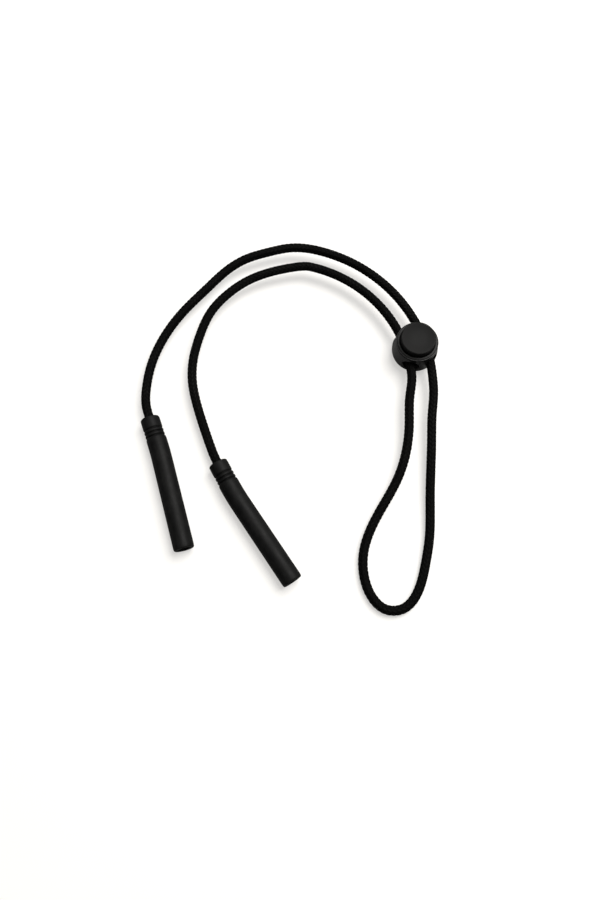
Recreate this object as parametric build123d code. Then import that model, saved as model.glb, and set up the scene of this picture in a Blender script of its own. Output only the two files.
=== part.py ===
from build123d import *
import math
import os

# Eyeglass retainer strap: a round braided cord with a rubber temple sleeve on each end,
# gathered by a two-channel push-button cord lock. Millimetres, +Z up.
# The origin is the centre of the cord lock's base, on its plunger axis; the strap lies on z = 0.
# +X is to the right and +Y away from the loop's end. Bearings are in degrees from +X towards +Y.

# ---- cord: a braided sheath round a core ----
CORD_D = 3.1            # over the crowns of the braid's yarns
SHEATH_WALL = 0.55
CORE_GAP = 0.02         # clearance between core and sheath
SHEATH_R = CORD_D / 2
SHEATH_IN = SHEATH_R - SHEATH_WALL
CORE_R = SHEATH_IN - CORE_GAP
STATION_PITCH = 2.4     # approximate spacing of the sections that a strand is lofted through

LOCK_CORD_Z = 5.6       # height of the cord's centre in the lock's channels
LOOP_Z = SHEATH_R       # the loop's end rests on the table
LOOP_FLAT_SHARE = 0.18  # middle share of the loop that stays at that height

# ---- the two arcs that the lock slides along share one centre ----
ARC_MEAN_R = 48.7       # radius of the line midway between the two strands
STRAND_HALF = 3.5       # half the distance between the strands
ARC_OUTER_R = ARC_MEAN_R + STRAND_HALF
ARC_INNER_R = ARC_MEAN_R - STRAND_HALF
ARC_TILT = 15.6         # bearing of the lock from the arc centre
ARC_SLEEVE_END = 60.0   # the arcs run this far from the lock towards the sleeves, degrees
ARC_LOOP_END = -12.0    # and this far towards the loop

# ---- cord lock housing ----
HOUSING_R = 7.12        # at the rim
BELLY_R = 7.85          # at the widest place below the rim
HOUSING_H = 10.0
BORE_R = 6.02
FLOOR_T = 0.8
CHANNEL_R = 2.4         # cord holes through the housing
CHANNEL_Z = 5.3
CHANNEL_EDGE = 0.25     # rounding round the mouths of the holes
RIM_BAND = 0.95         # height of the rim band above its groove
RIM_ROUND = 0.4
BORE_CHAMFER = 0.18
BOSS_R = 0.62           # boss on the floor, inside the spring
BOSS_H = 1.2
BOSS_CHAMFER = 0.15
SLOT_SIDE = 2.3         # guide slots for the plunger's lugs
SLOT_H = 3.4
RECESS_R = 3.6          # moulding recess under the base
RECESS_DEPTH = 0.25

# ---- cord lock plunger ----
BUTTON_R = 5.88
BUTTON_TOP = 12.55
BUTTON_ROUND = 0.38
BODY_R = 5.84           # plunger below the button
PILLAR_HALF = 1.5       # half the plunger's central web, between the two cords
WINDOW_LO = 3.95        # the cords pass the plunger between these heights
WINDOW_HI = 9.05
WINDOW_CUT_W = 10       # each window's cutter, wide and long enough to leave the body
WINDOW_CUT_L = 20
PLUNGER_BASE = 3.15
LUG_X = 5.3             # centre of each lug and slot from the lock's axis
LUG_SIDE = 1.9
POCKET_R = 1.12         # spring pocket up the plunger's web
POCKET_TOP = 9.8

# ---- cord lock spring ----
SPRING_OD = 2.04
SPRING_WIRE = 0.26
SPRING_COILS = 13
SPRING_END_GAP = 0.01

# ---- temple sleeves ----
SLEEVE_LEN = 46.0
SLEEVE_R = 3.38
SLEEVE_Z = SLEEVE_R     # the sleeves rest on the table
COLLAR_LEN = 8.0        # straight ribbed collar at the cord end
COLLAR_R = 3.25         # its plain band, slightly narrower than the barrel
BEND_LEN = 7.8          # the tube's slight set, then straight to the mouth
TIP_ROUND = 0.5
TEMPLE_BORE_R = 1.95    # blind bore that the temple tip is pushed into
TEMPLE_BORE_LEN = 30.0
TEMPLE_BORE_CHAMFER = 0.25
CORD_HOLE_R = 1.57
CORD_MOUTH_FLARE = 0.25
CORD_MOUTH_DEPTH = 0.3
TAIL_LEN = 6.6          # how far the cord goes into the collar
TAIL_END_GAP = 0.1      # space beyond the cord's end
FERRULE_LEN = 4.0
FERRULE_WALL = 0.3
FERRULE_GAP = 0.02      # clearance inside and outside the ferrule
FERRULE_FRONT_GAP = 0.05  # space before the ferrule, on the cord side
FERRULE_IN = SHEATH_R + FERRULE_GAP
FERRULE_OUT = FERRULE_IN + FERRULE_WALL
FERRULE_START = TAIL_LEN - FERRULE_LEN

# ---- the two sides ----
# neck: centre of the collar's end face; bearing: from there towards the sleeve's mouth;
# turn: of the sleeve's axis through its bend, degrees; arc_r: the arc that the strand joins;
# strand: plan points (x, y) of the free cord, between the neck and the end of the arc
SIDES = {
    "left": dict(
        neck=(-90.19, -25.40), bearing=-70.0, turn=-3.8, arc_r=ARC_OUTER_R,
        strand=[(-91.7, -20.59), (-91.95, -14.21), (-90.73, -5.89), (-87.89, 2.11),
                (-83.67, 9.61), (-78.26, 16.51), (-72.2, 23.01), (-66.21, 29.18),
                (-59.34, 33.9), (-51.05, 36.73), (-42.6, 38.41)]),
    "right": dict(
        neck=(-66.84, -40.91), bearing=-61.0, turn=5.2, arc_r=ARC_INNER_R,
        strand=[(-69.81, -34.12), (-72.29, -27.23), (-74.93, -18.95), (-76.46, -10.98),
                (-76.24, -3.45), (-74.31, 4.86), (-71.13, 12.88), (-65.03, 20.33),
                (-57.55, 25.72), (-49.33, 28.93), (-41.97, 30.55)]),
}
# Plan points (x, y) of the loop, from the outer arc round to the inner arc
LOOP = [(5.35, -16.5), (4.47, -24.87), (3.97, -33.61), (3.3, -43.91), (2.73, -54.41),
        (2.13, -64.94), (0.35, -74.24), (-2.3, -82.34), (-7.16, -87.67), (-12.81, -87.87),
        (-17.15, -83.76), (-19.31, -77.37), (-19.32, -70.63), (-17.43, -64.07), (-12.93, -55.5),
        (-7.77, -46.4), (-4.56, -37.09), (-3.26, -27.61), (-2.73, -18.18)]
FLEX_LEN = 5.0          # length of cord that flexes at each neck and at the end of each arc
LOOP_FLEX_LEN = 5.6     # length of each strand that flexes where the loop swings

STANDING = (Align.CENTER, Align.CENTER, Align.MIN)


# ---------------------------------------------------------------- helpers
def unit(bearing):
    return (math.cos(math.radians(bearing)), math.sin(math.radians(bearing)))


def offset_point(origin, distance, bearing):
    x, y = unit(bearing)
    return (origin[0] + distance * x, origin[1] + distance * y)


def upright(radius, height, z=0):
    """Cylinder standing on height z."""
    return Pos(0, 0, z) * Cylinder(radius, height, align=STANDING)


def block(width, length, height, x, z):
    """Box centred on x, standing on height z."""
    return Pos(x, 0, z) * Box(width, length, height, align=STANDING)


def disc_across(path, radius):
    """Circle square to the start of a path."""
    return Plane(origin=path @ 0, z_dir=path % 0) * Circle(radius)


def write(shape, node):
    shape.label = node
    export_step(shape, os.path.join("parts", node + ".step"))


def write_cord(name, make_rod):
    """Sheath and core of a length of cord; make_rod gives its round rod of any radius."""
    write((make_rod(SHEATH_R) - make_rod(SHEATH_IN)).solid(), "sheath_" + name)
    write(make_rod(CORE_R).solid(), "core_" + name)


# ---------------------------------------------------------------- cord centreline
ARC_CENTRE = offset_point((0, 0), -ARC_MEAN_R, ARC_TILT)


def arc_point(radius, angle):
    """Plan point on an arc, at an angle from the lock."""
    return offset_point(ARC_CENTRE, radius, ARC_TILT + angle)


def solve_tridiagonal(lower, diagonal, upper, right_side):
    count = len(diagonal)
    diagonal, right_side = list(diagonal), list(right_side)
    for i in range(1, count):
        factor = lower[i] / diagonal[i - 1]
        diagonal[i] -= factor * upper[i - 1]
        right_side[i] -= factor * right_side[i - 1]
    result = [0.0] * count
    result[-1] = right_side[-1] / diagonal[-1]
    for i in range(count - 2, -1, -1):
        result[i] = (right_side[i] - upper[i] * result[i + 1]) / diagonal[i]
    return result


def clamped_cubic(points, start_dir, end_dir):
    """Smooth curve through plan points with given end directions, over chord length."""
    chord = [0.0]
    for here, following in zip(points, points[1:]):
        chord.append(chord[-1] + math.dist(here, following))
    count = len(points)
    slopes = []
    for k in range(2):
        value = [point[k] for point in points]
        lower, diagonal, upper = [0.0] * count, [1.0] * count, [0.0] * count
        right_side = [0.0] * count
        right_side[0], right_side[-1] = start_dir[k], end_dir[k]
        for i in range(1, count - 1):
            before, after = chord[i] - chord[i - 1], chord[i + 1] - chord[i]
            lower[i], diagonal[i], upper[i] = after, 2 * (before + after), before
            right_side[i] = 3 * (after * (value[i] - value[i - 1]) / before
                                 + before * (value[i + 1] - value[i]) / after)
        slopes.append(solve_tridiagonal(lower, diagonal, upper, right_side))

    def at(place):
        i = 0
        while i < count - 2 and place > chord[i + 1]:
            i += 1
        span = chord[i + 1] - chord[i]
        t = (place - chord[i]) / span
        return tuple(
            (2 * t**3 - 3 * t**2 + 1) * points[i][k]
            + (t**3 - 2 * t**2 + t) * slopes[k][i] * span
            + (-2 * t**3 + 3 * t**2) * points[i + 1][k]
            + (t**3 - t**2) * slopes[k][i + 1] * span
            for k in range(2))

    return at, chord[-1]


def ease(t):
    t = min(1.0, max(0.0, t))
    return t * t * (3 - 2 * t)


def strand_height(share):
    """Height along a free strand, from its neck (0) to its arc (1)."""
    return SLEEVE_Z + (LOCK_CORD_Z - SLEEVE_Z) * ease(share)


def loop_height(share):
    """Height along the loop, which is lowest halfway."""
    rise = (abs(share - 0.5) * 2 - LOOP_FLAT_SHARE) / (1 - LOOP_FLAT_SHARE)
    return LOOP_Z + (LOCK_CORD_Z - LOOP_Z) * ease(rise)


class Strand:
    """Space curve: a plan curve plus a height that depends on the share of its length."""

    def __init__(self, points, start_bearing, end_bearing, height):
        self.plan, self.length = clamped_cubic(points, unit(start_bearing), unit(end_bearing))
        self.height = height

    def at(self, place):
        x, y = self.plan(place)
        return Vector(x, y, self.height(place / self.length))

    def tangent(self, place):
        step = 0.01
        before, after = max(0.0, place - step), min(self.length, place + step)
        return (self.at(after) - self.at(before)).normalized()

    def rod(self, start, end, radius):
        """Round rod between two places, given in millimetres along the strand."""
        count = max(4, int(round((end - start) / STATION_PITCH)) + 1)
        rings = []
        for i in range(count):
            place = start + (end - start) * i / (count - 1)
            tangent = self.tangent(place)
            across = Vector(-tangent.Y, tangent.X, 0).normalized()
            plane = Plane(origin=self.at(place), x_dir=across, z_dir=tangent)
            rings.append(plane * Circle(radius))
        return loft(rings)

    def write(self, flex_len, names):
        """Write the flexing start, the middle and the flexing end under three names."""
        bounds = (0, flex_len, self.length - flex_len, self.length)
        for name, start, end in zip(names, bounds, bounds[1:]):
            write_cord(name, lambda radius: self.rod(start, end, radius))


def arc_rod(path_r, radius):
    path = CenterArc((*ARC_CENTRE, LOCK_CORD_Z), path_r,
                     ARC_TILT + ARC_LOOP_END, ARC_SLEEVE_END - ARC_LOOP_END)
    return sweep(disc_across(path, radius), path=path)


def free_strand(neck, bearing, arc_r, points):
    """Strand from a sleeve's neck to the sleeve end of its arc."""
    return Strand([neck] + points + [arc_point(arc_r, ARC_SLEEVE_END)],
                  bearing + 180, ARC_TILT + ARC_SLEEVE_END - 90, strand_height)


def loop_strand():
    ends = [arc_point(radius, ARC_LOOP_END) for radius in (ARC_OUTER_R, ARC_INNER_R)]
    bearing = ARC_TILT + ARC_LOOP_END
    return Strand([ends[0]] + LOOP + [ends[1]], bearing - 90, bearing + 90, loop_height)


# ---------------------------------------------------------------- temple sleeves
def along(origin, bearing):
    """Plane whose +Z runs along the sleeve and whose +X is horizontal."""
    x, y = unit(bearing)
    return Plane(origin=(*origin, SLEEVE_Z), x_dir=Vector(-y, x, 0), z_dir=Vector(x, y, 0))


def collar():
    """Collar along +Z from the cord end: a plain band, two rings and a shoulder to the barrel."""
    band, barrel = COLLAR_R, SLEEVE_R
    # Start (radius, z), end (radius, z) and radius of each arc; lines join them
    arcs = [
        ((band - 0.75, 0), (band - 0.06, 0.7), 0.7),
        ((band, 3.95), (band - 0.24, 4.25), 0.36),
        ((band - 0.24, 4.5), (band - 0.22, 5.6), 0.7),
        ((band - 0.22, 5.84), (band - 0.2, 6.92), 0.68),
        ((band - 0.2, 7.14), (barrel - 0.05, 7.5), 0.5),
    ]
    with BuildPart() as part:
        with BuildSketch(Plane.XZ):
            with BuildLine():
                last = (0, 0)
                for start, end, radius in arcs:
                    Line(last, start)
                    RadiusArc(start, end, -radius)
                    last = end
                Polyline(last, (barrel, COLLAR_LEN), (0, COLLAR_LEN), (0, 0))
            make_face()
        revolve(axis=Axis.Z)
    return part.part


def sleeve_tip():
    """Straight barrel along +Z, with the temple bore in its far end."""
    length = SLEEVE_LEN - COLLAR_LEN - BEND_LEN
    tip = upright(SLEEVE_R, length)
    tip = fillet(tip.edges().filter_by(GeomType.CIRCLE).sort_by(Axis.Z)[-1], TIP_ROUND)
    # the cutter runs 1 mm out of the mouth
    tip -= upright(TEMPLE_BORE_R, TEMPLE_BORE_LEN + 1, z=length - TEMPLE_BORE_LEN)
    bore_edges = tip.edges().filter_by(GeomType.CIRCLE).filter_by(
        lambda edge: abs(edge.radius - TEMPLE_BORE_R) < 0.01)
    return chamfer(bore_edges.sort_by(Axis.Z)[-1], TEMPLE_BORE_CHAMFER)


def sleeve(neck, bearing, turn):
    start = along(neck, bearing)
    body = start * collar()

    bend_r = BEND_LEN / abs(math.radians(turn))
    bend_start = bearing - math.copysign(90, turn)   # bearing from the bend's centre
    centre = offset_point(offset_point(neck, COLLAR_LEN, bearing), -bend_r, bend_start)
    bend = CenterArc((*centre, SLEEVE_Z), bend_r, bend_start, turn)
    body = body + sweep(disc_across(bend, SLEEVE_R), path=bend)

    bend_end = offset_point(centre, bend_r, bend_start + turn)
    body = body + along(bend_end, bearing + turn) * sleeve_tip()

    hole = upright(CORD_HOLE_R, TAIL_LEN + TAIL_END_GAP)
    pocket = upright(FERRULE_OUT + FERRULE_GAP, FERRULE_LEN + FERRULE_FRONT_GAP + TAIL_END_GAP,
                     z=FERRULE_START - FERRULE_FRONT_GAP)
    mouth = Cone(CORD_HOLE_R + CORD_MOUTH_FLARE, CORD_HOLE_R, CORD_MOUTH_DEPTH, align=STANDING)
    return (body - start * (hole + pocket + mouth)).solid()


def ferrule(start):
    """Ring round the cord's end, inside the collar."""
    ring = upright(FERRULE_OUT, FERRULE_LEN) - upright(FERRULE_IN, FERRULE_LEN)
    return (start * Pos(0, 0, FERRULE_START) * ring).solid()


# ---------------------------------------------------------------- cord lock
LOCK = Rot(0, 0, ARC_TILT)   # local x across the strands, local y along them


def housing_blank():
    """Turned shape of the housing, with its bore and floor boss."""
    rim, top = HOUSING_R, HOUSING_H
    groove = top - RIM_BAND
    boss_top = FLOOR_T + BOSS_H
    belly_start = (7.68, 2.2)
    with BuildPart() as part:
        with BuildSketch(Plane.XZ):
            with BuildLine():
                Line((0, 0), (5.5, 0))
                Spline((5.5, 0), (7.05, 0.9), belly_start, tangents=((1, 0), (0.2, 1)))
                Spline(belly_start, (BELLY_R, 3.5), (7.7, 5.3), (rim - 0.02, groove - 0.3),
                       tangents=((0.2, 1), (-0.2, 1)))
                Polyline((rim - 0.02, groove - 0.3), (rim - 0.27, groove - 0.12),
                         (rim - 0.27, groove + 0.06), (rim - 0.12, groove + 0.18),
                         (rim, groove + 0.3), (rim, top - RIM_ROUND))
                RadiusArc((rim, top - RIM_ROUND), (rim - RIM_ROUND, top), RIM_ROUND)
                Polyline((rim - RIM_ROUND, top), (BORE_R + BORE_CHAMFER, top),
                         (BORE_R, top - BORE_CHAMFER), (BORE_R, FLOOR_T), (BOSS_R, FLOOR_T),
                         (BOSS_R, boss_top - BOSS_CHAMFER), (BOSS_R - BOSS_CHAMFER, boss_top),
                         (0, boss_top), (0, 0))
            make_face()
        revolve(axis=Axis.Z)
    return part.part


def housing():
    body = housing_blank()
    hole = Rot(90, 0, 0) * Cylinder(CHANNEL_R, 20)
    for side in (-1, 1):
        body -= Pos(side * STRAND_HALF, 0, CHANNEL_Z) * hole
    # the four mouths are the only closed edges of this length, where the holes meet the outside
    mouths = [edge for edge in body.edges()
              if edge.geom_type == GeomType.BSPLINE and edge.is_closed and 15 < edge.length < 17]
    body = fillet(mouths, CHANNEL_EDGE)
    # guide slots for the plunger's two snap lugs
    for side in (-1, 1):
        body -= block(SLOT_SIDE, SLOT_SIDE, SLOT_H, x=side * LUG_X, z=FLOOR_T)
    body -= upright(RECESS_R, RECESS_DEPTH)
    return (LOCK * body).solid()


def plunger():
    button = upright(BUTTON_R, BUTTON_TOP - WINDOW_HI)
    top_edge = button.edges().filter_by(GeomType.CIRCLE).sort_by(Axis.Z)[-1]
    body = Pos(0, 0, WINDOW_HI) * fillet(top_edge, BUTTON_ROUND)
    overlap = 0.01   # into the button above, and of the pocket's cutter below the base
    body += upright(BODY_R, WINDOW_HI - PLUNGER_BASE + overlap, z=PLUNGER_BASE)
    for side in (-1, 1):
        body -= block(WINDOW_CUT_W, WINDOW_CUT_L, WINDOW_HI - WINDOW_LO,
                      x=side * (PILLAR_HALF + WINDOW_CUT_W / 2), z=WINDOW_LO)
    for side in (-1, 1):
        body += block(LUG_SIDE, LUG_SIDE, WINDOW_LO - PLUNGER_BASE,
                      x=side * LUG_X, z=PLUNGER_BASE)
    body -= upright(POCKET_R, POCKET_TOP - PLUNGER_BASE + overlap, z=PLUNGER_BASE - overlap)
    return (LOCK * body).solid()


def spring():
    """Compression spring with ground ends, over the floor boss and up the plunger's pocket."""
    bottom = FLOOR_T + SPRING_END_GAP
    height = POCKET_TOP - SPRING_END_GAP - bottom
    path = Helix(height / SPRING_COILS, height, (SPRING_OD - SPRING_WIRE) / 2)
    wire = sweep(disc_across(path, SPRING_WIRE / 2), path=path, is_frenet=True)
    # a wide cylinder of the spring's height cuts its ends flat
    keep = upright(3, height, z=bottom)
    return (Pos(0, 0, bottom) * wire & keep).solid()


# ---------------------------------------------------------------- output
os.makedirs("parts", exist_ok=True)

for name, path_r in (("arc_outer", ARC_OUTER_R), ("arc_inner", ARC_INNER_R)):
    write_cord(name, lambda radius: arc_rod(path_r, radius))

for side, spec in SIDES.items():
    neck, bearing = spec["neck"], spec["bearing"]
    strand = free_strand(neck, bearing, spec["arc_r"], spec["strand"])
    strand.write(FLEX_LEN, ("flex_neck_" + side, "strand_" + side, "flex_bend_" + side))
    write(sleeve(neck, bearing, spec["turn"]), "temple_sleeve_" + side)
    start = along(neck, bearing)
    write(ferrule(start), "cord_ferrule_" + side)
    # the cord's end, inside the collar
    write_cord("tail_" + side, lambda radius: start * upright(radius, TAIL_LEN))

loop_strand().write(LOOP_FLEX_LEN, ("flex_loop_outer", "loop", "flex_loop_inner"))

write(housing(), "lock_housing")
write(plunger(), "lock_plunger")
write(spring(), "lock_spring")
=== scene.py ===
import math
from collections import namedtuple

import bpy
import numpy as np
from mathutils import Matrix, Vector


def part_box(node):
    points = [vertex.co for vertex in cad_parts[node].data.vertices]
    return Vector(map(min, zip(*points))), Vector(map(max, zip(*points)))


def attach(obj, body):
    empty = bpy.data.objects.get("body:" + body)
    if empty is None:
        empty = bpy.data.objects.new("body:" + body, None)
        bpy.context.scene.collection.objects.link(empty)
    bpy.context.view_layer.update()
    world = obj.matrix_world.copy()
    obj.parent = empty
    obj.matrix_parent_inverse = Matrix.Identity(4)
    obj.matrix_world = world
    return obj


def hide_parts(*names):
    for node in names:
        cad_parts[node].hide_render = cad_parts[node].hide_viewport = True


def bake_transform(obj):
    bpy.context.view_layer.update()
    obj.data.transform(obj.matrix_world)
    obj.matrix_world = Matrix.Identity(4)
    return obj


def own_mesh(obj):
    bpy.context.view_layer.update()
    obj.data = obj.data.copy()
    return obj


# Eyeglass retainer strap: a braided cord with a rubber temple sleeve on each end and a push-button
# cord lock. It lies on a table at z = 0. The lock stands upright at the origin; both strands run
# through it side by side, leave towards +y, turn to -x and come back down to the two sleeves. The
# closed loop of the cord hangs out of the lock's other side, towards -y.
# Lengths are in millimetres and angles in degrees. Meshes are written in metres.

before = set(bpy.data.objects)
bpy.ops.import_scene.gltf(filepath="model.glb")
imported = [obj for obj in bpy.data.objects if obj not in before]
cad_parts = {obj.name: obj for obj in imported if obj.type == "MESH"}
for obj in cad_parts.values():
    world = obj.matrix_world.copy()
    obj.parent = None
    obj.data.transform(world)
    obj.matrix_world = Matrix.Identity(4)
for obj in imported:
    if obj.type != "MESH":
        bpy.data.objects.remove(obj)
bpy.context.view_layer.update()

MM = 0.001
TAU = 2 * math.pi

# ------------------------------------------------------------------ driving dimensions
CORD_R = 1.55
TAIL_LEN = 6.6              # cord hidden inside each sleeve

# both strands follow concentric arcs through the lock
ARC_MEAN_R = 48.7
STRAND_HALF = 3.5           # from the lock's middle to each strand
ARC_TILT = 15.6             # bearing of the lock from the arcs' centre
ARC_SLEEVE_END, ARC_LOOP_END = 60.0, -12.0    # angles from the lock where the arcs stop
R_OUT, R_IN = ARC_MEAN_R + STRAND_HALF, ARC_MEAN_R - STRAND_HALF

SLEEVE_LEN, SLEEVE_R = 46.0, 3.38
COLLAR_R, COLLAR_LEN = 3.25, 8.0
COLLAR_GROOVES = (4.32, 5.66, 6.98)           # places along the sleeve
BEND_LEN = 7.8              # stretch after the collar where the sleeve's axis curves
TEMPLE_BORE_R, TEMPLE_BORE_LEN = 1.95, 30.0

# heights of the cord's centreline; loop and sleeves rest on the table
LOCK_CORD_Z, LOOP_Z, SLEEVE_Z = 5.6, CORD_R, SLEEVE_R

# neck: plan place of the sleeve's collar end; bearing: the sleeve's direction from there;
# turn: how far its axis bends; strand: plan points of the cord from the neck to the arc
Side = namedtuple("Side", "neck bearing turn seed strand")
LEFT = Side(
    neck=(-90.19, -25.40), bearing=-70.0, turn=-3.8, seed=1,
    strand=[(-91.7, -20.59), (-91.95, -14.21), (-90.73, -5.89), (-87.89, 2.11), (-83.67, 9.61),
            (-78.26, 16.51), (-72.2, 23.01), (-66.21, 29.18), (-59.34, 33.9), (-51.05, 36.73),
            (-42.6, 38.41)])
RIGHT = Side(
    neck=(-66.84, -40.91), bearing=-61.0, turn=5.2, seed=2,
    strand=[(-69.81, -34.12), (-72.29, -27.23), (-74.93, -18.95), (-76.46, -10.98),
            (-76.24, -3.45), (-74.31, 4.86), (-71.13, 12.88), (-65.03, 20.33), (-57.55, 25.72),
            (-49.33, 28.93), (-41.97, 30.55)])

# plan points of the loop, from the outer arc round to the inner one
LOOP = [(5.35, -16.5), (4.47, -24.87), (3.97, -33.61), (3.3, -43.91), (2.73, -54.41),
        (2.13, -64.94), (0.35, -74.24), (-2.3, -82.34), (-7.16, -87.67), (-12.81, -87.87),
        (-17.15, -83.76), (-19.31, -77.37), (-19.32, -70.63), (-17.43, -64.07), (-12.93, -55.5),
        (-7.77, -46.4), (-4.56, -37.09), (-3.26, -27.61), (-2.73, -18.18)]


# ------------------------------------------------------------------ centreline
def unit(bearing):
    return np.array((math.cos(math.radians(bearing)), math.sin(math.radians(bearing))))


ARC_CENTRE = -ARC_MEAN_R * unit(ARC_TILT)


def arc_point(radius, angle):
    return ARC_CENTRE + radius * unit(ARC_TILT + angle)


def arc_tangent(angle):
    turned = math.radians(ARC_TILT + angle)
    return np.array((-math.sin(turned), math.cos(turned)))


def smooth(share):
    share = np.clip(share, 0.0, 1.0)
    return share * share * (3 - 2 * share)


def lengths_along(points):
    """Length of a polyline up to each of its points."""
    return np.concatenate(([0.0], np.cumsum(np.linalg.norm(np.diff(points, axis=0), axis=1))))


def clamped_cubic(points, start_tangent, end_tangent, step=0.02):
    """Dense samples of the smooth plan curve through points, and their share of its length."""
    points = np.array(points, float)
    count = len(points)
    knots = lengths_along(points)
    system = np.zeros((count, count))
    sums = np.zeros((count, 2))
    system[0, 0] = system[-1, -1] = 1.0
    sums[0], sums[-1] = start_tangent, end_tangent
    for i in range(1, count - 1):
        before, after = knots[i] - knots[i - 1], knots[i + 1] - knots[i]
        system[i, i - 1:i + 2] = after, 2 * (before + after), before
        sums[i] = 3 * (after * (points[i] - points[i - 1]) / before
                       + before * (points[i + 1] - points[i]) / after)
    slopes = np.linalg.solve(system, sums)
    samples = np.linspace(0, knots[-1], int(knots[-1] / step) + 1)
    i = np.clip(np.searchsorted(knots, samples, side="right") - 1, 0, count - 2)
    gap = (knots[i + 1] - knots[i])[:, None]
    part = (samples - knots[i])[:, None] / gap
    plan = ((2 * part**3 - 3 * part**2 + 1) * points[i]
            + (part**3 - 2 * part**2 + part) * slopes[i] * gap
            + (-2 * part**3 + 3 * part**2) * points[i + 1]
            + (part**3 - part**2) * slopes[i + 1] * gap)
    return plan, samples / knots[-1]


def level(plan, height):
    return np.column_stack((plan, np.full(len(plan), height)))


def side_path(side, arc_radius):
    """One end of the cord: the tail inside the sleeve, then the strand up to its arc."""
    tail = np.array(side.neck) + np.linspace(TAIL_LEN, 0, 331)[:, None] * unit(side.bearing)
    plan, share = clamped_cubic(
        [side.neck] + side.strand + [arc_point(arc_radius, ARC_SLEEVE_END)],
        -unit(side.bearing), -arc_tangent(ARC_SLEEVE_END))
    height = SLEEVE_Z + (LOCK_CORD_Z - SLEEVE_Z) * smooth(share)
    return level(tail, SLEEVE_Z), np.column_stack((plan, height))


def arc_path(radius):
    """The cord through the lock, from the strand's end to the loop's."""
    angles = np.linspace(ARC_SLEEVE_END, ARC_LOOP_END, 3300)
    return level(np.array([arc_point(radius, angle) for angle in angles]), LOCK_CORD_Z)


def loop_path():
    plan, share = clamped_cubic(
        [arc_point(R_OUT, ARC_LOOP_END)] + LOOP + [arc_point(R_IN, ARC_LOOP_END)],
        -arc_tangent(ARC_LOOP_END), arc_tangent(ARC_LOOP_END))
    rise = smooth((np.abs(share - 0.5) * 2 - 0.18) / 0.82)     # flat on the table mid-loop
    return np.column_stack((plan, LOOP_Z + (LOCK_CORD_Z - LOOP_Z) * rise))


def cord_path():
    """The whole cord from the left sleeve to the right one, and the lengths where parts meet."""
    left_tail, left_strand = side_path(LEFT, R_OUT)
    right_tail, right_strand = side_path(RIGHT, R_IN)
    points = left_tail
    joins = []
    for part in (left_strand, arc_path(R_OUT), loop_path(), arc_path(R_IN)[::-1],
                 right_strand[::-1], right_tail[::-1]):
        joins.append(lengths_along(points)[-1])
        points = np.vstack((points, part[1:]))
    return points, lengths_along(points), joins


PATH, PATH_AT, JOINS = cord_path()
CORD_LEN = PATH_AT[-1]
NECK_LEFT, OUTER_ARC, LOOP_START, LOOP_END, INNER_ARC_END, NECK_RIGHT = JOINS


def on_path(lengths):
    """Centre of the cord at lengths along it, with the directions to its left and upwards."""
    def point(at):
        at = np.clip(at, 0, CORD_LEN)
        return np.column_stack([np.interp(at, PATH_AT, PATH[:, k]) for k in range(3)])

    lengths = np.clip(lengths, 0, CORD_LEN)
    reach = 0.25
    ahead = point(lengths + reach) - point(lengths - reach)
    ahead /= np.linalg.norm(ahead, axis=1)[:, None]
    left = np.cross((0, 0, 1.0), ahead)
    left /= np.linalg.norm(left, axis=1)[:, None]
    return point(lengths), left, np.cross(ahead, left)


def require_path_in_sheaths():
    """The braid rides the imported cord, so the centreline has to lie within the sheath's boxes."""
    for node, low, high in (
            ("sheath_strand_left", NECK_LEFT + 7, OUTER_ARC - 7),
            ("sheath_arc_outer", OUTER_ARC, LOOP_START),
            ("sheath_loop", LOOP_START + 8, LOOP_END - 8),
            ("sheath_arc_inner", LOOP_END, INNER_ARC_END),
            ("sheath_strand_right", INNER_ARC_END + 7, NECK_RIGHT - 7)):
        box_low, box_high = (np.array(corner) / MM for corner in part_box(node))
        part = PATH[(PATH_AT >= low) & (PATH_AT <= high)]
        path_low, path_high = part.min(0), part.max(0)
        outside = (path_low < box_low + 0.02).any() or (path_high > box_high - 0.02).any()
        too_small = (path_low > box_low + 5).any() or (path_high < box_high - 5).any()
        if outside or too_small:
            raise RuntimeError(f"cord centreline doesn't match {node}")


require_path_in_sheaths()


# ------------------------------------------------------------------ mesh helpers
def hashed(*values):
    """Repeatable number from 0 to 1 for arrays of integers."""
    low_bits = np.uint64(0xFFFFFFFF)
    mixed = np.full(np.broadcast(*values).shape, 374761393, np.uint64)
    for value in values:
        bits = (np.asarray(value).astype(np.int64) & 0xFFFFFFFF).astype(np.uint64)
        mixed = (mixed ^ bits) * np.uint64(2654435761)
        mixed = (mixed ^ (mixed >> np.uint64(15))) & low_bits
    mixed = (mixed * np.uint64(2246822519)) & low_bits
    mixed = mixed ^ (mixed >> np.uint64(13))
    return (mixed & np.uint64(0xFFFFFF)).astype(float) / float(0xFFFFFF)


def table(*columns):
    """One row for each element of the broadcast columns."""
    return np.stack(np.broadcast_arrays(*columns), -1).reshape(-1, len(columns))


def tube_quads(rings, around, first=0):
    """Faces between successive rings of vertices."""
    ring = first + np.arange(rings - 1)[:, None] * around
    i = np.arange(around)
    after = (i + 1) % around
    return table(ring + i, ring + around + i, ring + around + after, ring + after)


def closed_tube(rings, around):
    """Tube faces with a fan on each end, whose two hubs follow the rings' vertices."""
    i = np.arange(around)
    after = (i + 1) % around
    hub, last = rings * around, (rings - 1) * around
    return [tube_quads(rings, around), table(hub, i, after), table(hub + 1, last + after, last + i)]


def turned_over(faces):
    """The same faces wound the other way, from the same first corner."""
    return np.roll(faces[:, ::-1], 1, axis=1)


def ring_points(centre, left, up, angle, radius):
    """Points round the cord at each of its sections."""
    return (centre[:, None, :] + np.asarray(radius)[..., None]
            * (np.cos(angle)[..., None] * left[:, None, :]
               + np.sin(angle)[..., None] * up[:, None, :]))


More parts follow.
